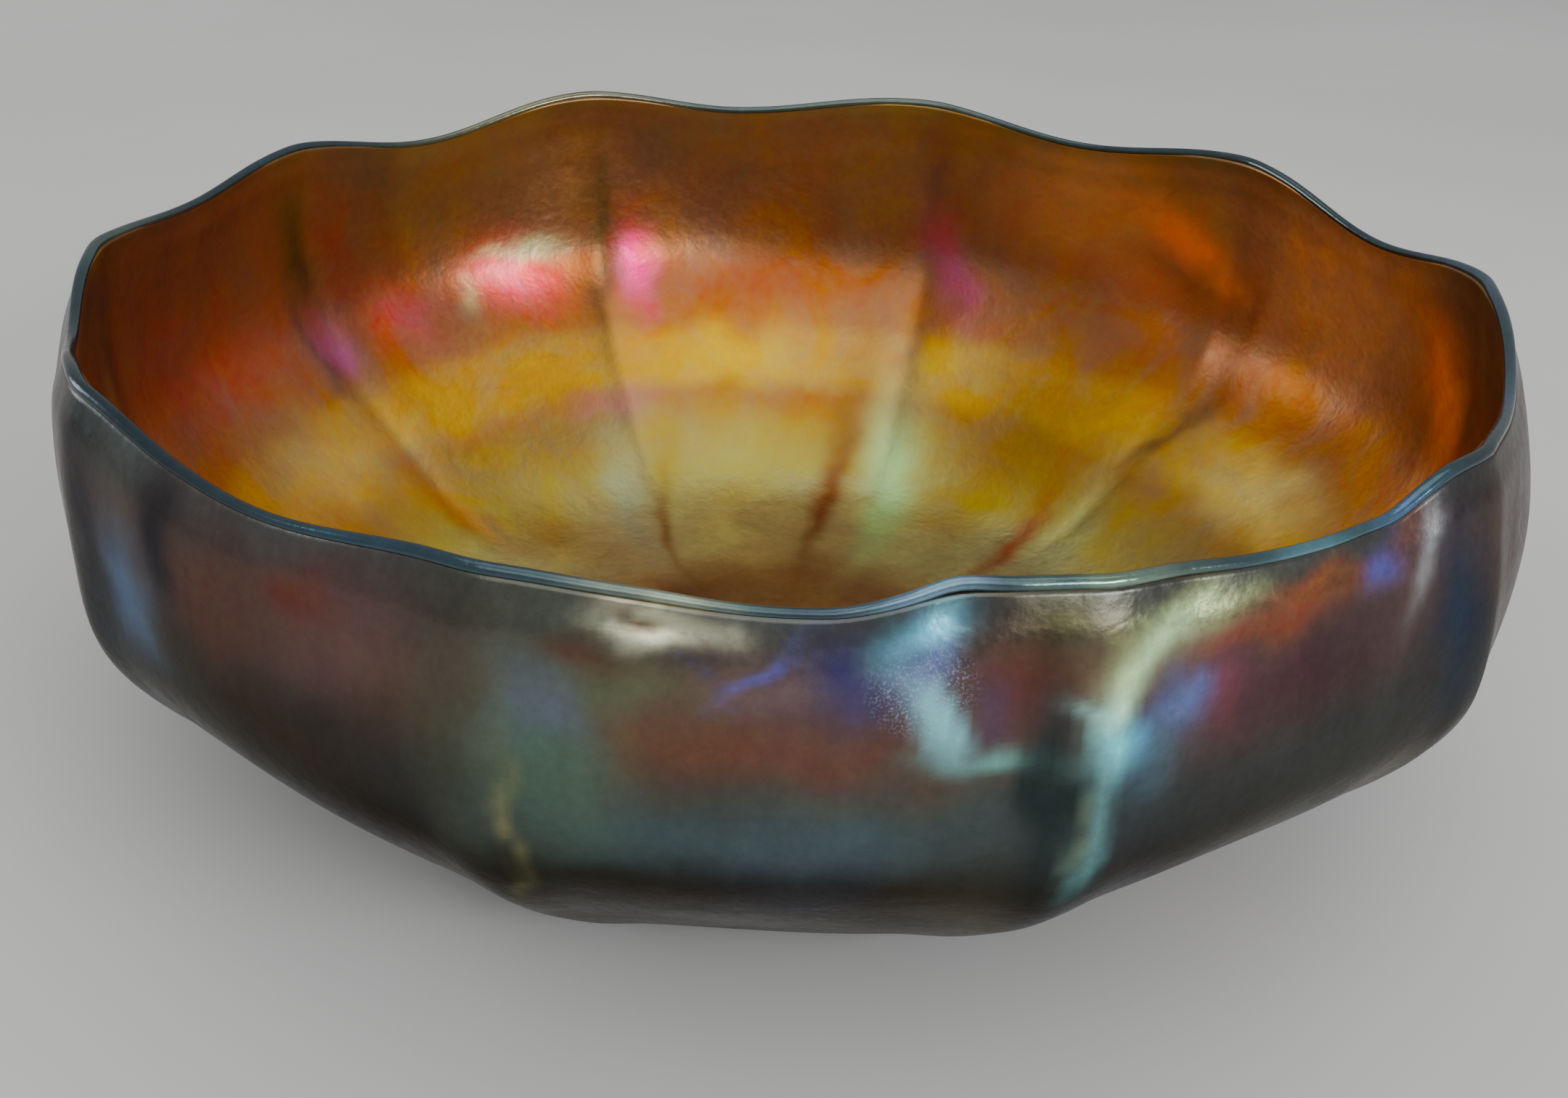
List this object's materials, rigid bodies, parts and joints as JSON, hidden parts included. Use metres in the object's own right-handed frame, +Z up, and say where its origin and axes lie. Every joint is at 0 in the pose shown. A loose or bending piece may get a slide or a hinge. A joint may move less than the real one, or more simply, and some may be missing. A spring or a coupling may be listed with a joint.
{
  "type": "art glass bowl",
  "caption": "Low round iridescent glass bowl with shallow ribs, flat panels, a waved rounded lip and a gold-lustred inside, resting on a ground flat ring.",
  "frame": {"origin": "middle of the bowl's outline, on the plane of its resting ring", "axes": "+Z up out of the bowl's mouth; -Y is the side seen in front; +X is to its right"},
  "size_m": [0.2614, 0.2546, 0.093],
  "materials": {
    "outer_lustre": "satin blue-grey and bronze metallic lustre, iridescent",
    "gold_lustre": "satin gold and amber metallic lustre, iridescent",
    "bead_lustre": "glossy fire-polished teal lustre",
    "amber_glass": "polished amber glass"
  },
  "bodies": {
    "root": {"outer_casing": "outer_lustre", "inner_lining": "gold_lustre", "lip_bead": "bead_lustre", "pontil_button": "amber_glass"}
  },
  "joints": []
}
